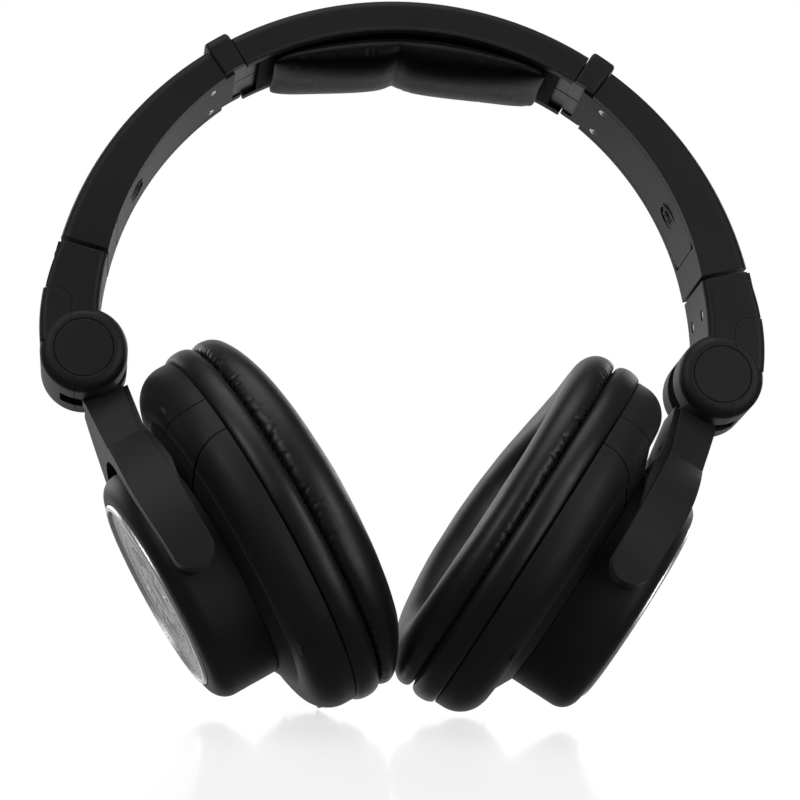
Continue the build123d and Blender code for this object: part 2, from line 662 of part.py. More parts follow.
def jack_socket():
    """Jack socket: a tube with a blind bore, flush with the lower cover."""
    tube = Pos(0, 0, -JACK_LENGTH / 2 - 0.6) * Cylinder(JACK_OUTER, JACK_LENGTH + 1.6)
    bore = Pos(0, 0, -JACK_LENGTH / 2 + 0.2) * Cylinder(JACK_BORE, JACK_LENGTH)
    return AT_CUP * jack_place() * (tube - bore)


# ---- Output ----

def as_solid(part, name):
    """One part or group of parts, with its node name."""
    solids = part.solids()
    shape = solids[0] if len(solids) == 1 else Compound(children=solids)
    shape.label = name
    return shape


def save(part, name):
    """Write one node's STEP file."""
    export_step(as_solid(part, name), os.path.join("parts", name + ".step"))


def main():
    """Build and write every node."""
    os.makedirs("parts", exist_ok=True)
    save(crown_cover(), "crown_cover")
    save(spring_strips(), "spring_strips")
    save(pad_carrier(), "pad_carrier")
    save(headband_pad(), "headband_pad")
    save(band_screws(), "band_screws")
    pairs = {
        "collar": collar(),
        "side_cover": side_cover(),
        "inner_plate": inner_plate(),
        "slider_strip": slider_strip(),
        "hinge_block_outer": block_outer(),
        "hinge_block_inner": block_inner(),
        "hinge_block_screws": block_screws(),
        "grip_inset": grip_inset(),
        "cap_discs": cap_discs(),
        "fold_pin": fold_pin(),
        "fold_barrel": fold_barrel(),
        "swivel_clip": swivel_clip(),
        "yoke_cover": yoke_outer(),
        "yoke_lining": yoke_lining(),
        "yoke_screws": yoke_screws(),
        "pivot_pins": pivot_pins(),
        "drum_housing": drum_housing(),
        "badge_rim": badge_rim(),
        "badge_disc": badge_disc(),
        "shell_main": shell_main(),
        "baffle": baffle(),
        "baffle_screws": baffle_screws(),
        "driver": driver(),
        "ear_cloth": ear_cloth(),
        "ear_cushion": ear_cushion(),
    }
    for name, part in pairs.items():
        save(part, name + "_right")
        save(mirror(part, about=Plane.YZ), name + "_left")
    save(shell_lower(False), "shell_lower_right")
    save(mirror(shell_lower(True), about=Plane.YZ), "shell_lower_left")
    save(mirror(jack_socket(), about=Plane.YZ), "jack_socket_left")


main()
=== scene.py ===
import json
import math

import bmesh
import bpy
import numpy as np
from mathutils import Matrix, Vector, noise


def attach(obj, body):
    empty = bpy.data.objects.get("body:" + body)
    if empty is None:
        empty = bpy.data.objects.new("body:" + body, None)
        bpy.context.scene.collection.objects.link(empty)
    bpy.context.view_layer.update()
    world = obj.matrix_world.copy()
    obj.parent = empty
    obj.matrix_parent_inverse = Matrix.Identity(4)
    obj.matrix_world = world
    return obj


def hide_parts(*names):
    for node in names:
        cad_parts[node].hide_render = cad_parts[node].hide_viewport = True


# Over-ear headphones. Metres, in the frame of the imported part: X across the head,
# Y from front (-) to back (+), Z up. Each side is made at +X and mirrored to -X.

MM = 0.001
SIDES = (("right", 1), ("left", -1))

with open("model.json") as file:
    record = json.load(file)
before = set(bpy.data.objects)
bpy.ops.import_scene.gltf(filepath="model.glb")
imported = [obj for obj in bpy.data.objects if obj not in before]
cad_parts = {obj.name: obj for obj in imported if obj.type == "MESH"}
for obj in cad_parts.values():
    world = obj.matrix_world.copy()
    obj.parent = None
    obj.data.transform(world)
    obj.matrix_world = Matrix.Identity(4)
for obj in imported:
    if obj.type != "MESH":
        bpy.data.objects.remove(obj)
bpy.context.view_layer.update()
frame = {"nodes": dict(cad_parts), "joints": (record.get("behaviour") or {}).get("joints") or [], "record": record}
NODES = frame["nodes"]
JOINTS = {joint["name"]: joint for joint in frame["joints"]}


# ---- Shader helpers ----

def new_material(name):
    """Material with an empty tree, its Principled shader and its output."""
    material = bpy.data.materials.new(name)
    material.use_nodes = True
    tree = material.node_tree
    tree.nodes.clear()
    shader = tree.nodes.new("ShaderNodeBsdfPrincipled")
    output = tree.nodes.new("ShaderNodeOutputMaterial")
    tree.links.new(shader.outputs["BSDF"], output.inputs["Surface"])
    return material, tree, shader


def node(tree, kind, inputs=None, **settings):
    """New shader node; an input's value is a number or another node's output."""
    made = tree.nodes.new(kind)
    for key, value in settings.items():
        setattr(made, key, value)
    for key, value in (inputs or {}).items():
        if isinstance(value, bpy.types.NodeSocket):
            tree.links.new(value, made.inputs[key])
        else:
            made.inputs[key].default_value = value
    return made


def place(tree):
    """Object coordinates, which are the row frame in metres."""
    return node(tree, "ShaderNodeTexCoord").outputs["Object"]


def noise_at(tree, scale, detail=3.0, roughness=0.5):
    """Noise value from 0 to 1; scale is in features per metre."""
    inputs = {"Vector": place(tree), "Scale": scale, "Detail": detail, "Roughness": roughness}
    return node(tree, "ShaderNodeTexNoise", inputs).outputs["Fac"]


def ramp(tree, value, stops):
    """Colour ramp through (position, grey or colour) stops."""
    made = node(tree, "ShaderNodeValToRGB", {"Fac": value})
    elements = made.color_ramp.elements
    while len(elements) < len(stops):
        elements.new(0.5)
    for element, (position, colour) in zip(elements, stops):
        if not isinstance(colour, tuple):
            colour = (colour,) * 3
        element.position = position
        element.color = (*colour, 1.0)
    return made.outputs["Color"]


def mix_colour(tree, share, a, b):
    """Colour a turning to the fixed colour b."""
    made = node(tree, "ShaderNodeMix", {0: share, 6: a, 7: (*b, 1.0)}, data_type="RGBA")
    return made.outputs[2]


def math_node(tree, operation, a, b=0.0):
    """Result of one maths node."""
    return node(tree, "ShaderNodeMath", {0: a, 1: b}, operation=operation).outputs[0]


def span(tree, value, low, high):
    """Value from 0 to 1 stretched to a range."""
    inputs = {"Value": value, "To Min": low, "To Max": high}
    return node(tree, "ShaderNodeMapRange", inputs).outputs[0]


def bump(tree, height, strength, distance, under=None):
    """Bump normal from a height; distance is in metres."""
    inputs = {"Height": height, "Strength": strength, "Distance": distance}
    if under is not None:
        inputs["Normal"] = under
    return node(tree, "ShaderNodeBump", inputs).outputs["Normal"]


def edge_share(tree, radius):
    """0 on flat stretches, up to 1 on sharp edges, and the softened normal."""
    soft = node(tree, "ShaderNodeBevel", {"Radius": radius}, samples=4).outputs["Normal"]
    plain = node(tree, "ShaderNodeNewGeometry").outputs["Normal"]
    alike = node(tree, "ShaderNodeVectorMath", {0: soft, 1: plain}, operation="DOT_PRODUCT")
    return math_node(tree, "SUBTRACT", 1.0, alike.outputs["Value"]), soft


# ---- Materials ----

def soft_touch():
    """Matte soft-touch plastic: fine grain, faint clouding, edges rubbed a little lighter."""
    material, tree, shader = new_material("soft_touch")
    edge, soft = edge_share(tree, 0.4 * MM)
    cloud = noise_at(tree, 45.0, 4.0)
    grain = noise_at(tree, 5200.0, 2.0, 0.6)
    base = ramp(tree, cloud, [(0.3, 0.005), (0.7, 0.0075)])
    worn = mix_colour(tree, math_node(tree, "MULTIPLY", edge, 1.2), base, (0.03, 0.03, 0.031))
    tree.links.new(worn, shader.inputs["Base Color"])
    tree.links.new(span(tree, cloud, 0.46, 0.58), shader.inputs["Roughness"])
    tree.links.new(bump(tree, grain, 0.35, 0.05 * MM, soft), shader.inputs["Normal"])
    shader.inputs["Specular IOR Level"].default_value = 0.22
    shader.inputs["Sheen Weight"].default_value = 0.05
    shader.inputs["Sheen Roughness"].default_value = 0.5
    return material


def inset_plastic():
    """Satin plastic with a fine moulded texture, for the grip and inner parts."""
    material, tree, shader = new_material("inset_plastic")
    edge, soft = edge_share(tree, 0.2 * MM)
    texture = noise_at(tree, 2600.0, 3.0, 0.7)
    base = ramp(tree, texture, [(0.35, 0.003), (0.65, 0.006)])
    worn = mix_colour(tree, edge, base, (0.03, 0.03, 0.03))
    tree.links.new(worn, shader.inputs["Base Color"])
    tree.links.new(span(tree, texture, 0.32, 0.46), shader.inputs["Roughness"])
    tree.links.new(bump(tree, texture, 0.4, 0.06 * MM, soft), shader.inputs["Normal"])
    shader.inputs["Specular IOR Level"].default_value = 0.25
    return material


def inner_plastic():
    """Dull black plastic of the parts that sit inside others."""
    material, tree, shader = new_material("inner_plastic")
    texture = noise_at(tree, 1800.0, 3.0, 0.6)
    tree.links.new(ramp(tree, texture, [(0.35, 0.0015), (0.65, 0.003)]), shader.inputs["Base Color"])
    tree.links.new(span(tree, texture, 0.6, 0.75), shader.inputs["Roughness"])
    tree.links.new(bump(tree, texture, 0.4, 0.05 * MM), shader.inputs["Normal"])
    shader.inputs["Specular IOR Level"].default_value = 0.1
    return material


def leather(name, dark, light, specular, sheen):
    """Black leatherette: pebbled grain, fine creases and a soft sheen."""
    material, tree, shader = new_material(name)
    inputs = {"Vector": place(tree), "Scale": 1500.0}
    pebble = node(tree, "ShaderNodeTexVoronoi", inputs, feature="DISTANCE_TO_EDGE")
    creases = noise_at(tree, 420.0, 5.0, 0.62)
    cloud = noise_at(tree, 60.0, 3.0)
    height = math_node(tree, "ADD", span(tree, pebble.outputs["Distance"], 0.0, 0.7), creases)
    base = ramp(tree, cloud, [(0.3, dark), (0.7, light)])
    tree.links.new(base, shader.inputs["Base Color"])
    tree.links.new(span(tree, creases, 0.34, 0.52), shader.inputs["Roughness"])
    tree.links.new(bump(tree, height, 0.28, 0.09 * MM), shader.inputs["Normal"])
    shader.inputs["Specular IOR Level"].default_value = specular
    shader.inputs["Sheen Weight"].default_value = sheen
    shader.inputs["Sheen Roughness"].default_value = 0.35
    return material


def shaded_ear_fabric():
    """Black knitted cloth over the driver: a fine diagonal weave, its black made darker still as painted shade of
    the deep ear opening.
    """
    material, tree, shader = new_material("ear_cloth")
    waves = []
    for turn in (math.radians(45), math.radians(-45)):
        mapping = node(tree, "ShaderNodeMapping", {"Vector": place(tree), "Rotation": (turn, 0.0, 0.0)})
        inputs = {"Vector": mapping.outputs["Vector"], "Scale": 480.0, "Distortion": 0.6}
        waves.append(node(tree, "ShaderNodeTexWave", inputs, bands_direction="Y").outputs["Fac"])
    weave = math_node(tree, "MAXIMUM", waves[0], waves[1])
    # The cloth's colour is darker than its own black: painted shade inside the ear opening.
    base = ramp(tree, weave, [(0.2, 0.0015), (0.9, 0.006)])
    tree.links.new(base, shader.inputs["Base Color"])
    tree.links.new(bump(tree, weave, 0.6, 0.15 * MM), shader.inputs["Normal"])
    shader.inputs["Roughness"].default_value = 0.9
    shader.inputs["Sheen Weight"].default_value = 0.05
    return material


def brushed(name, dark, light, roughness, stretch, scratch):
    """Metal with fine brushing stretched along one axis and a few scratches."""
    material, tree, shader = new_material(name)
    edge, soft = edge_share(tree, 0.15 * MM)
    mapping = node(tree, "ShaderNodeMapping", {"Vector": place(tree), "Scale": stretch})
    inputs = {"Vector": mapping.outputs["Vector"], "Scale": 900.0, "Detail": 4.0, "Roughness": 0.65}
    lines = node(tree, "ShaderNodeTexNoise", inputs).outputs["Fac"]
    base = ramp(tree, lines, [(0.3, dark), (0.7, light)])
    worn = mix_colour(tree, edge, base, (min(1.0, light * 1.3),) * 3)
    tree.links.new(worn, shader.inputs["Base Color"])
    tree.links.new(span(tree, lines, roughness, roughness + 0.16), shader.inputs["Roughness"])
    tree.links.new(bump(tree, lines, scratch, 0.03 * MM, soft), shader.inputs["Normal"])
    shader.inputs["Metallic"].default_value = 1.0
    return material


def badge_metal():
    """Pale brushed metal of the discs, its lines running up and down the cup."""
    return brushed("badge_metal", 0.66, 0.8, 0.48, (0.25, 1.0, 0.25), 0.1)


def black_metal():
    """Black-coated metal of the fold barrel."""
    material, tree, shader = new_material("black_metal")
    edge, soft = edge_share(tree, 0.25 * MM)
    coat = noise_at(tree, 1600.0, 3.0)
    worn = mix_colour(tree, edge, ramp(tree, coat, [(0.3, 0.008), (0.7, 0.014)]), (0.16, 0.16, 0.16))
    tree.links.new(worn, shader.inputs["Base Color"])
    tree.links.new(span(tree, coat, 0.3, 0.42), shader.inputs["Roughness"])
    tree.links.new(bump(tree, coat, 0.25, 0.04 * MM, soft), shader.inputs["Normal"])
    return material


def polished():
    """Bright polished metal with faint haze."""
    material, tree, shader = new_material("polished")
    _, soft = edge_share(tree, 0.3 * MM)
    haze = noise_at(tree, 700.0, 4.0)
    tree.links.new(ramp(tree, haze, [(0.3, 0.85), (0.7, 0.95)]), shader.inputs["Base Color"])
    tree.links.new(span(tree, haze, 0.34, 0.46), shader.inputs["Roughness"])
    tree.links.new(soft, shader.inputs["Normal"])
    shader.inputs["Metallic"].default_value = 1.0
    return material


def make_materials():
    """All the materials by name."""
    return {
        "soft_touch": soft_touch(),
        "inset": inset_plastic(),
        "inner": inner_plastic(),
        "leather": leather("pad_leather", 0.003, 0.0052, 0.34, 0.1),
        # The crown pad's leather is a darker, duller copy of the cushion leather: painted shade of the pad's place
        # in the shadow under the arch.
        "shaded_crown_leather": leather("shaded_crown_leather", 0.001, 0.002, 0.12, 0.03),
        "cloth": shaded_ear_fabric(),
        "spring": brushed("spring_steel", 0.12, 0.2, 0.42, (1.0, 0.05, 1.0), 0.2),
        "screw": brushed("screw_steel", 0.45, 0.7, 0.24, (1.0, 1.0, 1.0), 0.2),
        "aluminium": brushed("driver_metal", 0.3, 0.42, 0.4, (1.0, 1.0, 1.0), 0.3),
        "badge": badge_metal(),
        "polished": polished(),
        "black_metal": black_metal(),
    }


SLOT_MATERIALS = {
    "soft_touch": "soft_touch",
    "inset_plastic": "inset",
    "inner_plastic": "inner",
    "driver_body": "aluminium",
    "ear_cloth": "cloth",
    "spring_steel": "spring",
    "screw_steel": "screw",
    "pin_steel": "screw",
    "barrel_metal": "black_metal",
    "badge_rim": "polished",
    "badge_disc": "badge",
    "pad_leather": "leather",
    "jack_metal": "polished",
}


def paint_frame():
    """Each CAD node gets the material of its slot in the record."""
    for part in frame["record"]["subparts"]:
        mesh = NODES[part["node"]].data
        mesh.materials.clear()
        mesh.materials.append(MATERIALS[SLOT_MATERIALS[part["material_slot"]]])


# ---- Places on the object ----

CUP_TILT = math.radians(31.4)
CUP_PIVOT = Vector(JOINTS["tilt_right"]["pos_m"])
SHELL_LIFT = 1.6 * MM


def cup_place():
    """Matrix of the right cup: x away from the ear, y to the back, z up the cup."""
    return Matrix.Translation(CUP_PIVOT) @ Matrix.Rotation(CUP_TILT, 4, "Y")


def smooth_step(t):
    """0 below 0, 1 above 1, smooth between."""
    t = np.clip(t, 0.0, 1.0)
    return t * t * (3 - 2 * t)


CURVE_STEPS = 24


def closed_curve(points, count):
    """Closed Catmull-Rom curve through 2-D points, sampled evenly by length."""
    p = np.array(points, float)
    n = len(p)
    t = np.linspace(0, 1, CURVE_STEPS, endpoint=False)[:, None]
    parts = []
    for i in range(n):
        a, b, c, d = p[(i - 1) % n], p[i], p[(i + 1) % n], p[(i + 2) % n]
        square = (2 * a - 5 * b + 4 * c - d) * t**2
        cube = (3 * b - a - 3 * c + d) * t**3
        parts.append(0.5 * (2 * b + (c - a) * t + square + cube))
    dense = np.concatenate(parts + [parts[0][:1]])
    length = np.concatenate([[0], np.cumsum(np.linalg.norm(np.diff(dense, axis=0), axis=1))])
    at = np.linspace(0, length[-1], count, endpoint=False)
    return np.stack([np.interp(at, length, dense[:, k]) for k in range(2)], axis=1)


def grid_mesh(name, grid):
    """Mesh of quads on a grid of points that closes both ways."""
    rows, columns = grid.shape[:2]
    index = np.arange(rows * columns).reshape(rows, columns)
    right = np.roll(index, -1, axis=1)
    below = np.roll(index, -1, axis=0)
    corner = np.roll(right, -1, axis=0)
    faces = np.stack([index, right, corner, below], axis=-1).reshape(-1, 4)
    mesh = bpy.data.meshes.new(name)
    mesh.from_pydata(grid.reshape(-1, 3).tolist(), [], faces.tolist())
    mesh.shade_smooth()
    return mesh


def add_object(name, data, material=None):
    """Object in the scene from a mesh, light or camera; a mesh may get a material."""
    made = bpy.data.objects.new(name, data)
    bpy.context.scene.collection.objects.link(made)
    if material is not None:
        data.materials.append(material)
    return made


def flip_to_left(grid):
    """The left side's copy of a grid made for the right, with its faces still outward."""
    return (grid * np.array([-1.0, 1.0, 1.0]))[:, ::-1]


# ---- Stuffed pieces ----

CLOTH_SETTINGS = {
    "quality": 6,
    "mass": 0.15,
    "tension_stiffness": 12,
    "compression_stiffness": 12,
    "shear_stiffness": 4,
    "bending_stiffness": 0.4,
    "use_pressure": True,
    "uniform_pressure_force": 4.0,
    "vertex_group_mass": "held",
}
CLOTH_FRAMES = 20
LARGEST_MOVE = 0.9 * MM


def inflate(grid, pinned):
    """Cloth simulation of a closed grid with pinned points; returns how far each point moved."""
    mesh = grid_mesh("inflating", grid)
    piece = add_object("inflating", mesh)
    held = piece.vertex_groups.new(name=CLOTH_SETTINGS["vertex_group_mass"])
    for index in np.flatnonzero(pinned.ravel()):
        held.add([int(index)], 1.0, "REPLACE")
    cloth = piece.modifiers.new("cloth", "CLOTH")
    for key, value in CLOTH_SETTINGS.items():
        setattr(cloth.settings, key, value)
    cloth.settings.effector_weights.gravity = 0.0
    scene = bpy.context.scene
    for number in range(1, CLOTH_FRAMES + 1):
        scene.frame_set(number)
    result = piece.evaluated_get(bpy.context.evaluated_depsgraph_get())
    moved = np.array([v.co for v in result.data.vertices]).reshape(grid.shape) - grid
    bpy.data.objects.remove(piece)
    scene.frame_set(1)
    length = np.linalg.norm(moved, axis=2, keepdims=True)
    return moved * np.minimum(1.0, LARGEST_MOVE / np.maximum(length, 1e-9))


def refine(field, rows, columns):
    """A closed grid of values resampled, smoothly, to more rows and columns."""
    for axis, count in ((0, rows), (1, columns)):
        size = field.shape[axis]
        at = np.arange(count) * size / count
        low = np.floor(at).astype(int)
        share = smooth_step(at - low) * 0.5 + (at - low) * 0.5
        shape = [1] * field.ndim
        shape[axis] = count
        share = share.reshape(shape)
        before = np.take(field, low % size, axis)
        after = np.take(field, (low + 1) % size, axis)
        field = before * (1 - share) + after * share
    return field


def softened(field, passes):
    """A closed grid of values averaged with its neighbours a number of times."""
    for _ in range(passes):
        for axis in (0, 1):
            field = (np.roll(field, 1, axis) + 2 * field + np.roll(field, -1, axis)) / 4
    return field


def grid_normals(grid):
    """Outward normals of a closed grid."""
    along = np.roll(grid, -1, axis=0) - np.roll(grid, 1, axis=0)
    across = np.roll(grid, -1, axis=1) - np.roll(grid, 1, axis=1)
    normal = np.cross(across, along)
    return normal / np.maximum(np.linalg.norm(normal, axis=2, keepdims=True), 1e-12)


# The cushion's section: how far out from the ring's middle line, and x in the cup's frame, in mm.
# It runs from the shell along the narrow first roll, over the seam, the main roll and the ear wall.
CUSHION_SECTION = (
    (8.6, -22.25), (10.2, -22.35), (11.0, -23.4), (11.35, -25.0), (11.3, -26.8), (10.8, -28.2),
    (9.9, -29.0), (8.1, -29.4), (9.8, -29.8), (10.5, -30.6), (10.8, -32.2), (10.3, -34.6),
    (8.6, -36.8), (5.6, -38.3), (1.8, -38.8), (-2.0, -38.5), (-5.6, -37.2), (-8.2, -34.8),
    (-9.3, -31.6), (-9.0, -28.6), (-8.2, -27.6), (-8.8, -26.6), (-9.4, -24.6), (-9.0, -22.5),
    (-7.6, -22.25), (0.5, -22.25),
)
SEAM_X = -29.4
INNER_SEAM_X = -27.6
PIN_MARGIN = 0.6
MAIN_ROLL_DEPTH = 9.4
RING_HALF_Y = 33.35
RING_HALF_Z = 39.6
CUSHION_ROWS = 1000
CUSHION_COLUMNS = 120
COARSE_ROWS = 150
COARSE_COLUMNS = 42

# The share of the simulation's fine detail that is kept, and the passes that soften the rest.
SIM_DETAIL = 0.2
SIM_PASSES = 6

# How far the face is raised on each side, in front and behind, in mm: the cups press on each other.
FACE_LIFTS = {"right": (-1.3, 5.2), "left": (2.1, 0.8)}
FACE_REACH = 46.0
LIFT_FROM_Y = -20.0
LIFT_SPAN_Y = 50.0

# Folds that run away from a seam: the seam, the way along the section, spacing, depth and reach
# in mm, and whether they are deeper at the upper front.
CUSHION_FOLDS = (
    (SEAM_X, 1, 1.75, 0.8, 5.8, True),
    (SEAM_X, -1, 2.1, 0.45, 2.8, True),
    (INNER_SEAM_X, -1, 2.4, 0.38, 7.0, False),
)
FOLD_SEEDS = {"right": 3, "left": 13}
FOLDS_DEEPEST = 0.42
WAVE_SCALE = 0.11
WAVE_HEIGHT = 0.14

# Where the two cushions meet: each stops this far from the middle plane, with a soft bend.
CONTACT_GAP = 0.3 * MM
CONTACT_SOFT = 1.0 * MM


def ring_angles(count):
    """Angles round the cushion's middle line, evenly spaced by length."""
    dense = np.linspace(0, 2 * math.pi, 4001)
    speed = np.hypot(RING_HALF_Y * np.sin(dense), RING_HALF_Z * np.cos(dense))
    length = np.concatenate([[0], np.cumsum((speed[1:] + speed[:-1]) / 2)])
    return np.interp(np.arange(count) / count * length[-1], length, dense)


def ring_grid(rows, columns):
    """Grid of the cushion in the cup's frame, in mm, and its section."""
    section = closed_curve(CUSHION_SECTION, columns)
    angle = ring_angles(rows)[:, None]
    middle_y, middle_z = RING_HALF_Y * np.cos(angle), RING_HALF_Z * np.sin(angle)
    out_y, out_z = np.cos(angle) / RING_HALF_Y, np.sin(angle) / RING_HALF_Z
    size = np.hypot(out_y, out_z)
    out = section[None, :, 0]
    y = middle_y + out * out_y / size
    z = middle_z + out * out_z / size + SHELL_LIFT / MM
    x = np.broadcast_to(section[None, :, 1], y.shape)
    return np.stack([x, y, z], axis=-1), section


def fold_keep(share):
    """How deep the folds are at a share of the way round the cushion: deepest at the upper front."""
    return 0.5 + 0.7 * max(0.0, math.cos(2 * math.pi * (share - FOLDS_DEEPEST)))


def puckers(distance, spacing, depth, reach, uneven, seed):
    """Height of the folds along a seam; distance is each column's distance from it in mm."""
    rows = CUSHION_ROWS
    chance = np.random.default_rng(seed)
    perimeter = 2 * math.pi * math.sqrt((RING_HALF_Y**2 + RING_HALF_Z**2) / 2)
    along = np.arange(rows)[:, None] / rows * perimeter
    height = np.zeros((rows, len(distance)))
    spot = 0.0
    while spot < perimeter:
        spot += spacing * chance.uniform(0.55, 1.6)
        size = depth * chance.uniform(0.35, 1.0)
        if uneven:
            size *= fold_keep(spot / perimeter)
        width = chance.uniform(0.28, 0.5)
        length = reach * chance.uniform(0.5, 1.0)
        slant = chance.normal(0.0, 0.22)
        bend = chance.normal(0.0, 0.03)
        offset = along - spot - slant * distance[None, :] - bend * distance[None, :] ** 2
        offset = (offset + perimeter / 2) % perimeter - perimeter / 2
        fade = np.clip(1 - distance / length, 0, 1) ** 1.3
        height -= size * np.exp(-((offset / width) ** 2)) * fade[None, :]
    return height


def distance_from(section, seam_x, side):
    """Length along the section from a seam, for the columns on one side of it; far elsewhere."""
    out = section[:, 0] > 0 if seam_x == SEAM_X else section[:, 0] < 0
    start = int(np.argmin(np.abs(section[:, 1] - seam_x) + np.where(out, 0, 100)))
    step = np.linalg.norm(section - np.roll(section, 1, axis=0), axis=1)
    order = (start + side * np.arange(len(section))) % len(section)
    length = np.full(len(section), 99.0)
    total = 0.0
    for count, column in enumerate(order[: len(order) // 3]):
        total += 0.0 if count == 0 else step[column]
        length[column] = total
    return length


def crowned(grid, near, far):
    """Cushion grid with its face raised at mid height, by near mm in front and far mm behind."""
    x, y, z = grid[..., 0], grid[..., 1], grid[..., 2]
    behind = smooth_step((y - LIFT_FROM_Y) / LIFT_SPAN_Y)
    height = np.clip(1 - (z / FACE_REACH) ** 2, 0, 1)
    lift = (near + (far - near) * behind) * height
    share = np.clip((SEAM_X - x) / MAIN_ROLL_DEPTH, 0, None)
    raised = grid.copy()
    raised[..., 0] = x - share * lift
    return raised


def base_cushion():
    """The cushion's grid in the cup's frame, in mm, filled out by the simulation, and its section."""
    grid, section = ring_grid(CUSHION_ROWS, CUSHION_COLUMNS)
    coarse, coarse_section = ring_grid(COARSE_ROWS, COARSE_COLUMNS)
    out, x = coarse_section[:, 0], coarse_section[:, 1]
    outer = (x > SEAM_X - PIN_MARGIN) & (out > 0)
    inner = (x > INNER_SEAM_X - PIN_MARGIN) & (out < 1)
    pinned = np.broadcast_to((outer | inner)[None, :], coarse.shape[:2])
    moved = inflate(coarse * MM, pinned) / MM
    moved = SIM_DETAIL * moved + (1 - SIM_DETAIL) * softened(moved, SIM_PASSES)
    grid = grid + refine(moved, CUSHION_ROWS, CUSHION_COLUMNS)
    return grid, section


def pressed(x):
    """Distances from the middle plane, with those near or past it pressed back to the gap."""
    over = np.clip((x - CONTACT_GAP) / CONTACT_SOFT, -30, 30)
    squeezed = CONTACT_GAP + CONTACT_SOFT * np.log1p(np.exp(over))
    return np.where(x < CONTACT_GAP + 6 * CONTACT_SOFT, squeezed, x)


def folded_cushion(grid, section, side):
    """A side's cushion in metres, as if for the right: with its crown, folds, waves and contact."""
    grid = crowned(grid, *FACE_LIFTS[side])
    normal = grid_normals(grid)
    height = np.zeros(grid.shape[:2])
    for number, (seam_x, way, spacing, depth, reach, uneven) in enumerate(CUSHION_FOLDS):
        distance = distance_from(section, seam_x, way)
        height = height + puckers(distance, spacing, depth, reach, uneven, FOLD_SEEDS[side] + number)
    for row in range(CUSHION_ROWS):
        height[row] += noise.noise(Vector(grid[row, 0] * WAVE_SCALE)) * WAVE_HEIGHT
    grid = grid + normal * height[..., None]
    place_at = cup_place()
    world = grid * MM @ np.array(place_at.to_3x3()).T + np.array(place_at.translation)
    world[..., 0] = pressed(world[..., 0])
    return world


def add_cushions():
    """Both ear cushions."""
    grid, section = base_cushion()
    for side, sign in SIDES:
        shape = folded_cushion(grid, section, side)
        shape = shape if sign > 0 else flip_to_left(shape)
        piece = add_object("cushion_" + side, grid_mesh("cushion_" + side, shape), MATERIALS["leather"])
        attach(piece, "cup_" + side)
        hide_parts("ear_cushion_" + side)


# ---- Crown pad ----

# The pad lies under the arch: radii and lengths in mm, angles from the crown in degrees.
ARCH_CENTRE = Vector((0, 0, 95.14 * MM))
PAD_TOP = 84.1
PAD_MIDDLE = 76.0
PAD_CREASE_RADIUS = 75.7
PAD_CREASE = -3.0
PAD_CREASE_DEPTH = 0.3
PAD_CREASE_WIDTH = 1.3
PAD_LOBE = (2.7, 9.0)
PAD_NICK = (0.35, 2.5)
PAD_HALF_WIDTH = 13.5
PAD_HALF_LENGTH = 35.0
PAD_END = 25.9
PAD_ROUND_FROM = 19.5
PAD_ROWS = 361
PAD_COLUMNS = 120
PAD_SPREAD = 0.85
PAD_FOLDS = 46
PAD_FOLD_DEPTH = 0.13
PAD_SEED = 11
PAD_BULGE = 0.3
PAD_BULGE_FROM = 5.0

# The section's squareness across and up, and how full it still is at the pad's ends:
# above its middle, below it and across it. The last row is a little smaller again.
PAD_SQUARE = (0.75, 0.9)
PAD_END_ABOVE = 0.3
PAD_END_BELOW = 0.25
PAD_END_ACROSS = 0.78
PAD_LAST_ROW = 0.9


def spread(share):
    """A place from -1 to 1 along the pad, with the rows closer together at its ends."""
    return np.sign(share) * np.abs(share) ** PAD_SPREAD


def pad_under(angle):
    """Radius of the pad's underside at an angle, in mm: two lobes with a crease between."""
    across = PAD_MIDDLE * math.sin(angle) - PAD_CREASE
    lobe, lobe_reach = PAD_LOBE
    nick, nick_reach = PAD_NICK
    drop = lobe * (1 - math.exp(-abs(across) / lobe_reach))
    drop += nick * (1 - math.exp(-((across / nick_reach) ** 2)))
    return (PAD_CREASE_RADIUS - drop) / math.cos(angle)


def fullness(at_end, full):
    """A size's share of its full value; full falls from 1 to 0 at the pad's rounded ends."""
    return at_end + (1 - at_end) * full


def pad_grid(rows, columns):
    """Open grid of the crown pad in mm: rows along the arch, columns round its section."""
    grid = np.zeros((rows, columns, 3))
    turn = np.linspace(0, 2 * math.pi, columns, endpoint=False)
    flat = np.sign(np.cos(turn)) * np.abs(np.cos(turn)) ** PAD_SQUARE[0]
    tall = np.sign(np.sin(turn)) * np.abs(np.sin(turn)) ** PAD_SQUARE[1]
    for row, share in enumerate(np.linspace(-1, 1, rows)):
        degrees = PAD_END * spread(share)
        beyond = max(0.0, (abs(degrees) - PAD_ROUND_FROM) / (PAD_END - PAD_ROUND_FROM))
        full = max(1e-3, 1 - beyond**3) ** 0.5
        size = PAD_LAST_ROW if beyond >= 1 else 1.0
        angle = math.radians(degrees)
        half = (PAD_TOP - pad_under(angle)) / 2
        height = np.where(tall > 0, fullness(PAD_END_ABOVE, full), fullness(PAD_END_BELOW, full))
        radius = PAD_TOP - half + tall * half * height * size
        grid[row, :, 0] = radius * math.sin(angle)
        grid[row, :, 1] = flat * PAD_HALF_WIDTH * fullness(PAD_END_ACROSS, full) * size
        grid[row, :, 2] = radius * math.cos(angle)
    return grid, turn


def open_normals(grid):
    """Outward normals of a grid that closes only across its columns."""
    along = np.gradient(grid, axis=0)
    across = np.roll(grid, -1, axis=1) - np.roll(grid, 1, axis=1)
    normal = np.cross(across, along)
    return normal / np.maximum(np.linalg.norm(normal, axis=2, keepdims=True), 1e-12)


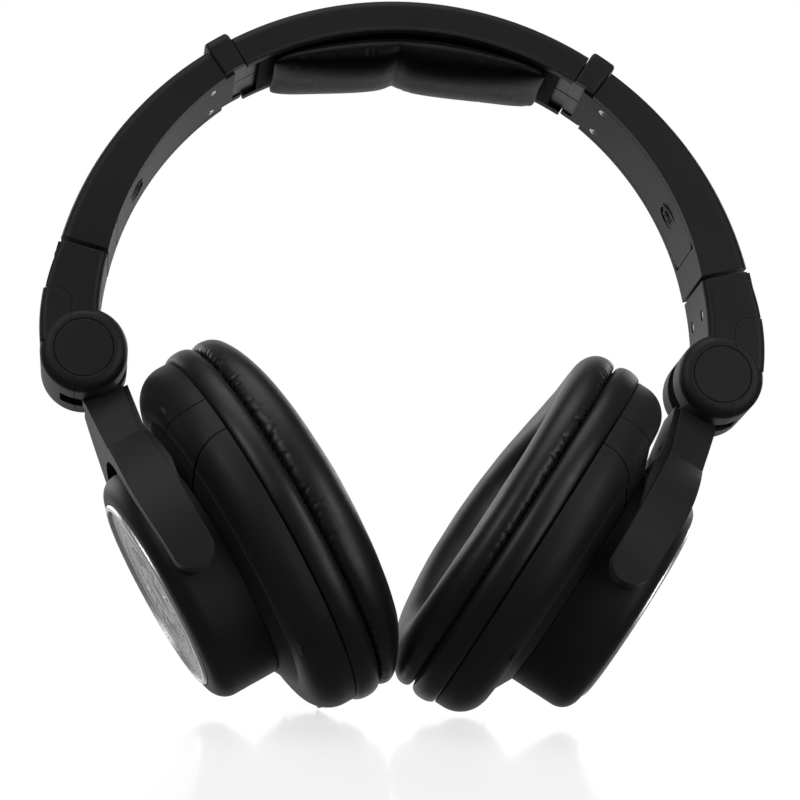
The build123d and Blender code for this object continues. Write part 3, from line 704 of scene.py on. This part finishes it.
def tube_mesh(name, grid):
    """Mesh of a grid that closes across its columns, with both ends filled by fans."""
    rows, columns = grid.shape[:2]
    index = np.arange(rows * columns).reshape(rows, columns)
    right = np.roll(index, -1, axis=1)
    faces = np.stack([index[:-1], right[:-1], right[1:], index[1:]], axis=-1).reshape(-1, 4).tolist()
    points = grid.reshape(-1, 3).tolist()
    for row, flip in ((0, False), (rows - 1, True)):
        centre = len(points)
        points.append(grid[row].mean(axis=0).tolist())
        for a, b in zip(index[row], right[row]):
            faces.append((int(b), int(a), centre) if not flip else (int(a), int(b), centre))
    mesh = bpy.data.meshes.new(name)
    mesh.from_pydata(points, [], faces)
    mesh.shade_smooth()
    return mesh


def add_crown_pad():
    """The stuffed crown pad: two lobes, a crease between them and small folds."""
    grid, turn = pad_grid(PAD_ROWS, PAD_COLUMNS)
    grid = grid + open_normals(grid) * pad_relief(turn)[..., None]
    grid = grid * MM + np.array(ARCH_CENTRE)
    # The pad gets the darker copy of the leather, which paints the shade it lies in under the arch.
    piece = add_object("crown_pad", tube_mesh("crown_pad", grid), MATERIALS["shaded_crown_leather"])
    outward(piece.data)
    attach(piece, "headband")
    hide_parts("headband_pad")


def pad_relief(turn):
    """Height of the pad's crease, folds and bulging sides, in mm."""
    rows = np.linspace(-1, 1, PAD_ROWS)[:, None]
    from_crease = np.abs(spread(rows) * PAD_HALF_LENGTH - PAD_CREASE)
    under = np.clip(-np.sin(turn)[None, :] * 0.6 + 0.5, 0, 1)
    crease = -PAD_CREASE_DEPTH * np.exp(-((from_crease / PAD_CREASE_WIDTH) ** 2)) * under
    chance = np.random.default_rng(PAD_SEED)
    folds = np.zeros((PAD_ROWS, PAD_COLUMNS))
    for _ in range(PAD_FOLDS):
        at = chance.uniform(-1, 1)
        across = chance.uniform(0, 2 * math.pi)
        width, length = chance.uniform(0.010, 0.022), chance.uniform(0.25, 0.6)
        slant = chance.normal(0, 0.02)
        around = (turn[None, :] - across + math.pi) % (2 * math.pi) - math.pi
        depth = PAD_FOLD_DEPTH * (0.35 + 0.65 * abs(math.cos(across)))
        away = ((rows - at - slant * around) / width) ** 2
        folds -= depth * np.exp(-away - (around / length) ** 2)
    beside = 1 - np.exp(-((from_crease / PAD_BULGE_FROM) ** 2))
    return crease + folds + PAD_BULGE * np.abs(np.cos(turn))[None, :] * beside


def outward(mesh):
    """Turn a closed mesh's faces outward."""
    shape = bmesh.new()
    shape.from_mesh(mesh)
    if shape.calc_volume(signed=True) < 0:
        bmesh.ops.reverse_faces(shape, faces=shape.faces)
    shape.to_mesh(mesh)
    shape.free()


# ---- Badge ----

# The disc's face, x in the cup's frame, and its relief: (radius, height) from the centre out, in mm.
BADGE_FACE = 8.7
BADGE_PROFILE = (
    (0.0, 0.14), (3.6, 0.14), (3.9, 0.0), (5.0, 0.0), (5.3, 0.14), (6.3, 0.14), (6.6, 0.0),
    (16.2, 0.0), (16.5, 0.15), (17.3, 0.15), (17.6, 0.0), (20.4, 0.0), (20.6, -0.12), (20.9, -0.12),
    (21.1, 0.0), (24.0, 0.0), (24.45, -0.4), (24.45, -1.3), (0.0, -1.3),
)
BADGE_SEGMENTS = 256
BADGE_RAYS = 20
BADGE_STEP = 1.0

# A ray's two ends: radius, half width and how much further its foot reaches, in mm.
RAY_ENDS = ((8.6, 0.35, -0.25), (13.9, 0.75, 0.25))
RAY_ROOT = -0.2
RAY_TOP = 0.14


def stepped(profile, step_length):
    """Points along a (radius, height) profile in mm, no further apart than a step."""
    points = []
    for (r0, h0), (r1, h1) in zip(profile[:-1], profile[1:]):
        steps = max(1, int(math.hypot(r1 - r0, h1 - h0) / step_length))
        for step in range(steps):
            share = step / steps
            points.append((r0 + (r1 - r0) * share, h0 + (h1 - h0) * share))
    points.append(profile[-1])
    return points


def badge_ring(shape, radius, height):
    """Points of one circle of the disc, or its single centre point."""
    x = BADGE_FACE + height
    if radius < 1e-6:
        return [shape.verts.new((x, 0, 0))]
    turns = [2 * math.pi * step / BADGE_SEGMENTS for step in range(BADGE_SEGMENTS)]
    return [shape.verts.new((x, radius * math.cos(turn), radius * math.sin(turn))) for turn in turns]


def badge_mesh(name):
    """Disc with raised rings and a ring of short rays, on the right cup."""
    shape = bmesh.new()
    rings = [badge_ring(shape, radius, height) for radius, height in stepped(BADGE_PROFILE, BADGE_STEP)]
    for low, high in zip(rings[:-1], rings[1:]):
        for step in range(BADGE_SEGMENTS):
            after = (step + 1) % BADGE_SEGMENTS
            if len(low) == 1:
                shape.faces.new((low[0], high[step], high[after]))
            elif len(high) == 1:
                shape.faces.new((low[step], high[0], low[after]))
            else:
                shape.faces.new((low[step], high[step], high[after], low[after]))
    for ray in range(BADGE_RAYS):
        add_ray(shape, 2 * math.pi * ray / BADGE_RAYS)
    shape.transform(cup_place() @ Matrix.Scale(MM, 4))
    mesh = bpy.data.meshes.new(name)
    shape.to_mesh(mesh)
    shape.free()
    return mesh


def add_ray(shape, turn):
    """One raised radial bar with sloped flanks."""
    corners = []
    for radius, half, flank in RAY_ENDS:
        for lift, share in ((RAY_ROOT, 1.2), (RAY_TOP, 0.8)):
            for side in (-1, 1):
                out = radius + (flank if lift == RAY_ROOT else 0.0)
                across = side * half * share
                corners.append(shape.verts.new((
                    BADGE_FACE + lift,
                    out * math.cos(turn) - across * math.sin(turn),
                    out * math.sin(turn) + across * math.cos(turn),
                )))
    a, b, c, d, e, f, g, h = corners
    for face in ((a, b, d, c), (e, g, h, f), (c, d, h, g), (a, c, g, e), (b, f, h, d), (a, e, f, b)):
        shape.faces.new(face)


def mirrored(mesh, name):
    """The left side's copy of a mesh."""
    copy = mesh.copy()
    copy.name = name
    copy.transform(Matrix.Scale(-1, 4, Vector((1, 0, 0))))
    copy.flip_normals()
    return copy


def add_badges():
    """The metal disc on each drum."""
    right = badge_mesh("badge_right")
    outward(right)
    right.materials.append(MATERIALS["badge"])
    for side, sign in SIDES:
        mesh = right if sign > 0 else mirrored(right, "badge_left")
        piece = add_object("badge_" + side, mesh)
        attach(piece, "cup_" + side)
        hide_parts("badge_disc_" + side)


# ---- Side marks ----

MARK_ANGLE = math.radians(61.0)
MARK_RADIUS = 81.86
MARK_HEIGHT = 0.22
MARK_ROOT = 0.2
MARK_BEVEL = 0.04
MARK_LETTER = 5.6
MARK_RING = (4.1, 3.6)
MARK_SEGMENTS = 96


def mark_place(sign):
    """Matrix of a side mark: x across the plate, y up the arm, z towards the head."""
    angle = MARK_ANGLE * sign
    spot = ARCH_CENTRE + Vector((math.sin(angle), 0, math.cos(angle))) * MARK_RADIUS * MM
    inward = Vector((-math.sin(angle), 0, -math.cos(angle)))
    across = Vector((0, -float(sign), 0))
    up = inward.cross(across)
    return Matrix.Translation(spot) @ Matrix((across, up, inward)).transposed().to_4x4()


def letter_shape(letter):
    """Editable mesh of a raised letter."""
    text = bpy.data.curves.new("letter", "FONT")
    text.body = letter
    text.size = MARK_LETTER * MM
    text.extrude = MARK_HEIGHT * MM
    text.bevel_depth = MARK_BEVEL * MM
    text.align_x = "CENTER"
    text.align_y = "CENTER"
    holder = bpy.data.objects.new("letter", text)
    mesh = bpy.data.meshes.new_from_object(holder)
    bpy.data.objects.remove(holder)
    shape = bmesh.new()
    shape.from_mesh(mesh)
    return shape, mesh


def add_ring(shape):
    """Raised ring round the letter: top, outer and inner walls, and a hidden underside."""
    outer, inner = [
        bmesh.ops.create_circle(shape, segments=MARK_SEGMENTS, radius=radius * MM)["verts"]
        for radius in MARK_RING
    ]
    for vert in outer + inner:
        vert.co.z = MARK_HEIGHT * MM
    top = list(zip(outer, inner))
    low = [[shape.verts.new((v.co.x, v.co.y, -MARK_ROOT * MM)) for v in pair] for pair in top]
    for step in range(len(top)):
        after = (step + 1) % len(top)
        (a, b), (c, d) = top[step], top[after]
        (e, f), (g, h) = low[step], low[after]
        for face in ((a, c, d, b), (e, g, c, a), (b, d, h, f), (f, h, g, e)):
            shape.faces.new(face)
    loose = [edge for edge in shape.edges if not edge.link_faces]
    bmesh.ops.delete(shape, geom=loose, context="EDGES")
    bmesh.ops.recalc_face_normals(shape, faces=shape.faces)


def add_mark(side, sign, letter):
    """Moulded ring and letter on an inner plate."""
    shape, mesh = letter_shape(letter)
    add_ring(shape)
    shape.to_mesh(mesh)
    shape.free()
    mesh.transform(mark_place(sign))
    mesh.materials.clear()
    piece = add_object("mark_" + side, mesh, MATERIALS["soft_touch"])
    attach(piece, "headband")


# ---- Camera, floor and light ----

CAMERA_AZIMUTH = math.radians(-5.7)
CAMERA_ELEVATION = math.radians(-14.1)
CAMERA_ROLL = math.radians(0.98)
CAMERA_DISTANCE = 0.781
CAMERA_LENS = 133.6
MIDDLE = Vector((0, 0, 0.08414))
AIM = Vector((-0.0002, 0, 0.08134))


def add_camera():
    """Long-lens camera a little below the object, looking up at it."""
    camera = add_object("camera", bpy.data.cameras.new("camera"))
    camera.data.lens = CAMERA_LENS
    camera.data.sensor_width = 36.0
    camera.data.clip_start = 0.01
    back = Vector((
        math.sin(CAMERA_AZIMUTH) * math.cos(CAMERA_ELEVATION),
        -math.cos(CAMERA_AZIMUTH) * math.cos(CAMERA_ELEVATION),
        math.sin(CAMERA_ELEVATION),
    ))
    camera.location = MIDDLE + back * CAMERA_DISTANCE
    look = (AIM - camera.location).to_track_quat("-Z", "Y")
    camera.rotation_euler = (look.to_matrix() @ Matrix.Rotation(CAMERA_ROLL, 3, "Z")).to_euler()
    bpy.context.scene.camera = camera


FLOOR_TILT = math.radians(18.0)
FLOOR_FRONT = 1.2
FLOOR_RIDGE = 0.055
FLOOR_BACK = 1.4
FLOOR_HALF_WIDTH = 1.6
FLOOR_BEND = 0.012
FLOOR_BEND_STEPS = 12
FLOOR_GAP = 0.2 * MM


def floor_profile(reach):
    """Side view (y, z) of the floor: a slope that falls towards the camera, level behind the object."""
    slope = math.tan(FLOOR_TILT)
    drop = reach / math.cos(FLOOR_TILT)
    points = [(-FLOOR_FRONT, drop - slope * FLOOR_FRONT)]
    for step in range(FLOOR_BEND_STEPS + 1):
        share = step / FLOOR_BEND_STEPS
        y = FLOOR_RIDGE + FLOOR_BEND * (2 * share - 1)
        under = slope * FLOOR_BEND * share**2
        points.append((y, drop + slope * y - under))
    points.append((FLOOR_BACK, points[-1][1]))
    return points


def floor_material():
    """Pale satin surface that glows a little."""
    material, _, shader = new_material("floor")
    shader.inputs["Base Color"].default_value = (0.35, 0.35, 0.35, 1.0)
    shader.inputs["Roughness"].default_value = 0.13
    shader.inputs["Specular IOR Level"].default_value = 0.2
    shader.inputs["Emission Color"].default_value = (1, 1, 1, 1)
    shader.inputs["Emission Strength"].default_value = 0.68
    return material


def add_floor():
    """Floor under the object: it falls away in front, because the camera looks up."""
    normal = Vector((0, -math.sin(FLOOR_TILT), math.cos(FLOOR_TILT)))
    reach = min(min(normal.dot(v.co) for v in o.data.vertices) for o in NODES.values())
    vertices = []
    for y, z in floor_profile(reach - FLOOR_GAP):
        vertices += [(-FLOOR_HALF_WIDTH, y, z), (FLOOR_HALF_WIDTH, y, z)]
    faces = [(k, k + 1, k + 3, k + 2) for k in range(0, len(vertices) - 2, 2)]
    mesh = bpy.data.meshes.new("floor")
    mesh.from_pydata(vertices, [], faces)
    mesh.shade_smooth()
    floor = add_object("floor", mesh, floor_material())
    floor.visible_diffuse = False
    floor.visible_glossy = False


# Soft boxes, all aimed at the middle: name, place in metres, width in metres and power in watts.
SOFT_BOXES = (
    ("left_box", (-1.0, -1.1, 0.55), 0.5, 6.5),
    ("right_box", (0.9, -1.2, 0.4), 0.5, 6.0),
    ("low_box", (0.8, -0.9, -0.3), 0.6, 4.0),
    ("rear_left_box", (-0.9, 1.0, 0.7), 0.6, 4.0),
    ("rear_right_box", (0.9, 1.0, 0.7), 0.6, 4.0),
    ("back_card", (0, 1.5, 0.35), 2.0, 10.0),
)
TOP_TOWARDS = Vector((0.1, 0.35, -1.0))
TOP_STRENGTH = 1.3
TOP_SPREAD = math.radians(50.0)
WORLD_FILL = 0.12


def add_soft_box(name, place_at, width, power):
    """Square area light that the camera doesn't see."""
    data = bpy.data.lights.new(name, "AREA")
    data.size = width
    data.energy = power
    light = add_object(name, data)
    light.location = place_at
    light.visible_camera = False
    light.rotation_euler = (MIDDLE - Vector(place_at)).to_track_quat("-Z", "Y").to_euler()


def add_top_light():
    """Very broad light from above, the same all over the floor."""
    data = bpy.data.lights.new("top", "SUN")
    data.energy = TOP_STRENGTH
    data.angle = TOP_SPREAD
    add_object("top", data).rotation_euler = TOP_TOWARDS.to_track_quat("-Z", "Y").to_euler()


def add_backdrop():
    """World that the camera sees as white and that lights the object faintly."""
    world = bpy.data.worlds.new("studio")
    world.use_nodes = True
    tree = world.node_tree
    background = tree.nodes["Background"]
    background.inputs["Color"].default_value = (1, 1, 1, 1)
    seen = tree.nodes.new("ShaderNodeLightPath").outputs["Is Camera Ray"]
    tree.links.new(span(tree, seen, WORLD_FILL, 1.0), background.inputs["Strength"])
    bpy.context.scene.world = world
    bpy.context.scene.view_settings.view_transform = "Standard"


def add_light():
    """All the light of the studio."""
    add_backdrop()
    add_top_light()
    for box in SOFT_BOXES:
        add_soft_box(*box)


# ---- Assembly ----

MATERIALS = make_materials()
paint_frame()
add_cushions()
add_crown_pad()
add_badges()
add_mark("right", 1, "R")
add_mark("left", -1, "L")
add_camera()
add_floor()
add_light()
